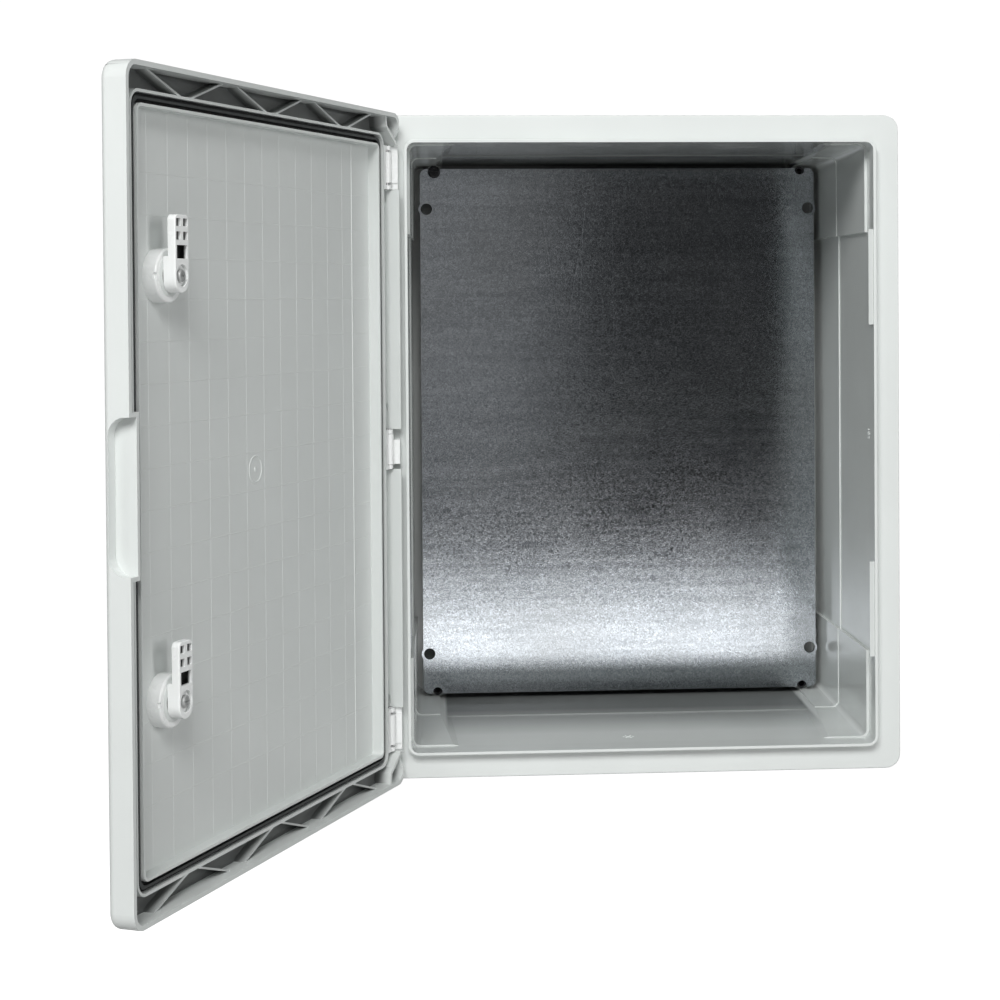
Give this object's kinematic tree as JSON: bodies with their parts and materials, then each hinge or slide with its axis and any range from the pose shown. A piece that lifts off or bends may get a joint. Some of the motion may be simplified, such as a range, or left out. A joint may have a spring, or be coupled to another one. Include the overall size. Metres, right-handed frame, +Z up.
{
  "type": "hinged wall enclosure",
  "caption": "Moulded weatherproof wall enclosure for a dc combiner, with an open hinged door, quarter-turn latches, a sealing lip and a metal mounting plate.",
  "frame": {"origin": "centre of the flat back face that meets the wall", "axes": "+X to the right, +Z up, +Y out of the back into the wall, so the front faces -Y"},
  "size_m": [0.4353, 0.4792, 0.4],
  "materials": {
    "grey_plastic": "satin moulded",
    "white_plastic": "satin moulded",
    "black_plastic": "satin moulded",
    "black_foam": "matt foamed",
    "galvanised_steel": "galvanised with small spangle",
    "steel_screw": "zinc plated",
    "dark_screw": "black zinc",
    "steel_pin": "bright drawn"
  },
  "bodies": {
    "enclosure": {"body_shell": "grey_plastic", "mounting_plate": "galvanised_steel", "plate_inserts": "dark_screw", "plate_screw": "dark_screw", "upper_hinge_bracket": "white_plastic", "middle_hinge_bracket": "white_plastic", "lower_hinge_bracket": "white_plastic"},
    "door": {"door_panel": "grey_plastic", "door_gasket": "black_foam", "upper_hinge_clip": "white_plastic", "middle_hinge_clip": "white_plastic", "lower_hinge_clip": "white_plastic", "upper_hinge_pin": "steel_pin", "middle_hinge_pin": "steel_pin", "lower_hinge_pin": "steel_pin", "upper_latch_housing": "grey_plastic", "upper_latch_seal": "black_foam", "upper_latch_nut": "white_plastic", "lower_latch_housing": "grey_plastic", "lower_latch_seal": "black_foam", "lower_latch_nut": "white_plastic"},
    "upper_latch": {"upper_latch_rotor": "black_plastic", "upper_latch_o_ring": "black_foam", "upper_latch_cam": "white_plastic", "upper_latch_washer": "white_plastic", "upper_latch_screw": "steel_screw"},
    "lower_latch": {"lower_latch_rotor": "black_plastic", "lower_latch_o_ring": "black_foam", "lower_latch_cam": "white_plastic", "lower_latch_washer": "white_plastic", "lower_latch_screw": "steel_screw"}
  },
  "joints": [
    {"name": "door_hinge", "type": "hinge", "parent": "enclosure", "child": "door", "pos_m": [-0.1536, -0.1883, 0], "axis": [0, 0, 1], "range_deg": [-7.6, 112.4]},
    {"name": "upper_latch_turn", "type": "hinge", "parent": "door", "child": "upper_latch", "pos_m": [-0.25501, -0.43302, 0.1013], "axis": [0.9245, -0.3811, 0], "range_deg": [0, 90]},
    {"name": "lower_latch_turn", "type": "hinge", "parent": "door", "child": "lower_latch", "pos_m": [-0.25501, -0.43302, -0.1013], "axis": [0.9245, -0.3811, 0], "range_deg": [0, 90]}
  ]
}
